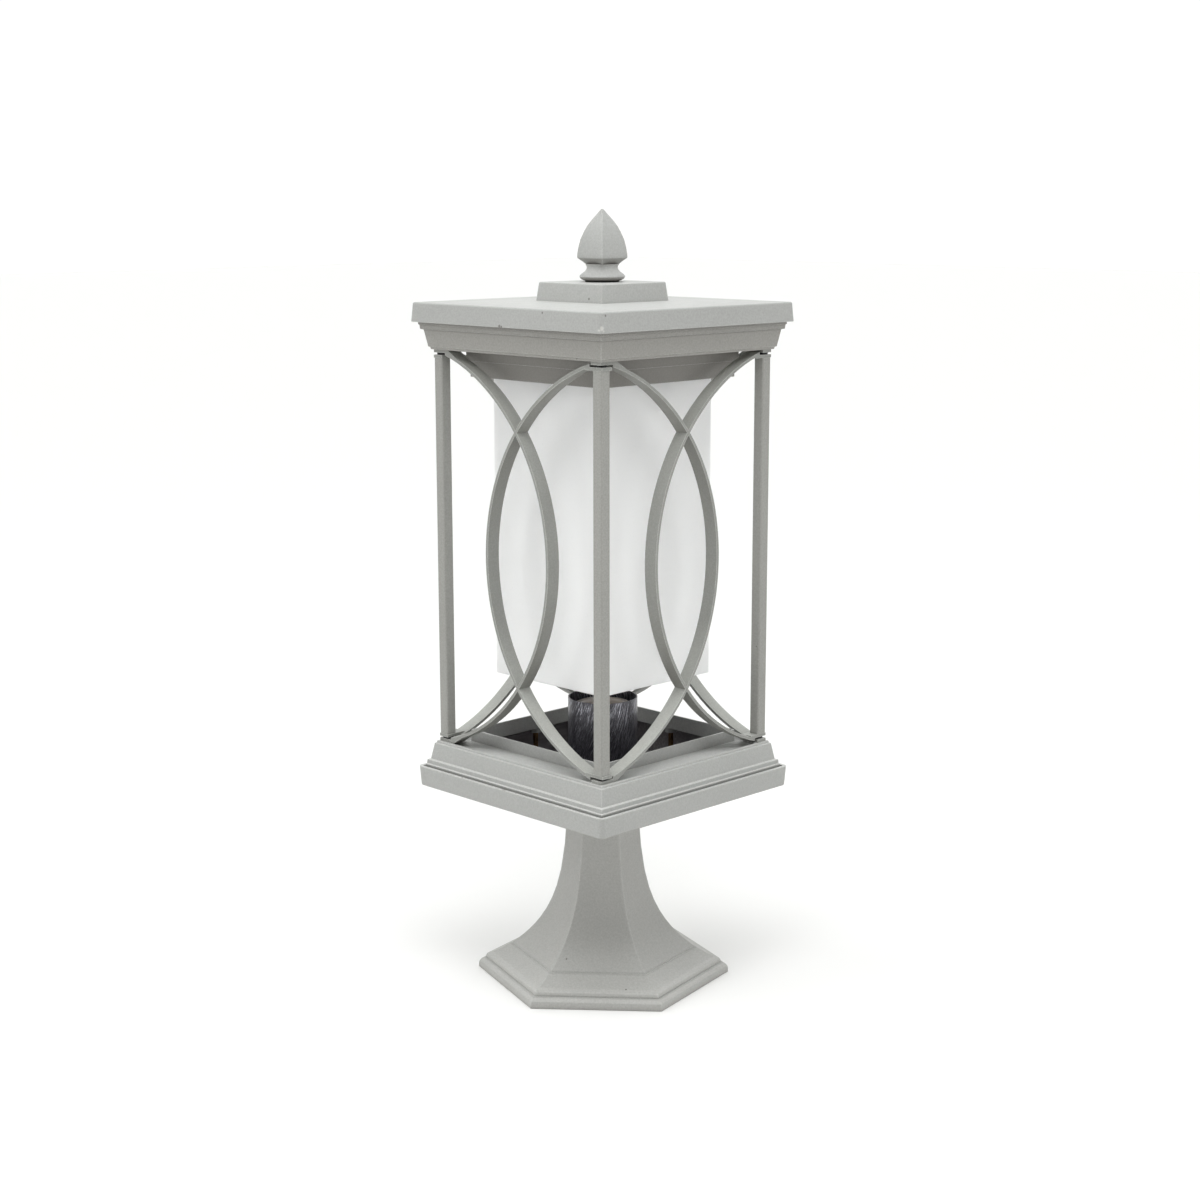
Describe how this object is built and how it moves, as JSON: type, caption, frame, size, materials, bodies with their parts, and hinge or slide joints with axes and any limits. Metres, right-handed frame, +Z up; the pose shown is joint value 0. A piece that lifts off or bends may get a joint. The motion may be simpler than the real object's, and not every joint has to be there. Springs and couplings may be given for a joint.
{
  "type": "pillar lantern",
  "caption": "Square open pillar lantern on a hexagonal pedestal, with crossed arch bars on its sides, a hanging opal box round a screw lampholder, and a lift-off roof with a screwed finial.",
  "frame": {"origin": "centre of the foot, on the ground", "axes": "+Z up along the lantern's axis; the lantern's four faces look along X and Y, with the front at -Y and the right at +X"},
  "size_m": [0.2028, 0.2028, 0.587],
  "materials": {
    "casting": "satin warm grey powder coat",
    "steel": "zinc plated",
    "stainless": "stainless",
    "brass": "plain",
    "blackened": "blackened and brushed",
    "liner": "black",
    "porcelain": "glazed",
    "opal": "opal white",
    "rubber": "matte",
    "nylon": "moulded",
    "brown": "insulation",
    "blue": "insulation",
    "green": "insulation with a yellow stripe"
  },
  "bodies": {
    "lantern": {"pedestal": "casting", "mounting_plate": "steel", "set_screws": "stainless", "cable_grommet": "rubber", "terminal_block": "nylon", "terminal_screws": "brass", "earth_screw": "brass", "lead_live": "brown", "lead_neutral": "blue", "lead_earth": "green", "tray": "casting", "liner_pan": "liner", "frame_screws": "brass", "clamp_pipe": "steel", "pipe_nuts": "steel", "pipe_washers": "steel", "lower_frame": "casting", "upper_frame": "casting", "post_front_right": "casting", "post_front_left": "casting", "post_back_right": "casting", "post_back_left": "casting", "arch_front": "casting", "arch_right": "casting", "arch_back": "casting", "arch_left": "casting", "post_screws": "stainless", "post_washers": "rubber", "cup": "blackened", "lampholder": "porcelain", "screw_shell": "brass", "centre_contact": "brass", "holder_bracket": "steel", "holder_screws": "stainless"},
    "roof": {"roof": "casting", "roof_screws": "stainless", "shade_holder": "casting", "diffuser": "opal", "stud": "steel", "spacer_tube": "steel", "clamp_disc": "steel", "stud_nut": "steel"},
    "washer": {"finial_washer": "rubber"},
    "finial": {"finial": "casting"}
  },
  "joints": [
    {"name": "roof_lift", "type": "slide", "parent": "lantern", "child": "roof", "axis": [0, 0, 1], "range_m": [0, 0.3]},
    {"name": "finial_rise", "type": "slide", "parent": "roof", "child": "washer", "axis": [0, 0, 1], "range_m": [0, 0.02]},
    {"name": "finial_turn", "type": "hinge", "parent": "washer", "child": "finial", "pos_m": [0, 0, 0.54], "axis": [0, 0, 1], "range_deg": [0, 5760]}
  ],
  "couplings": [
    {"joint": "finial_turn", "follows": "finial_rise", "rad_per_m": 5026.5}
  ]
}
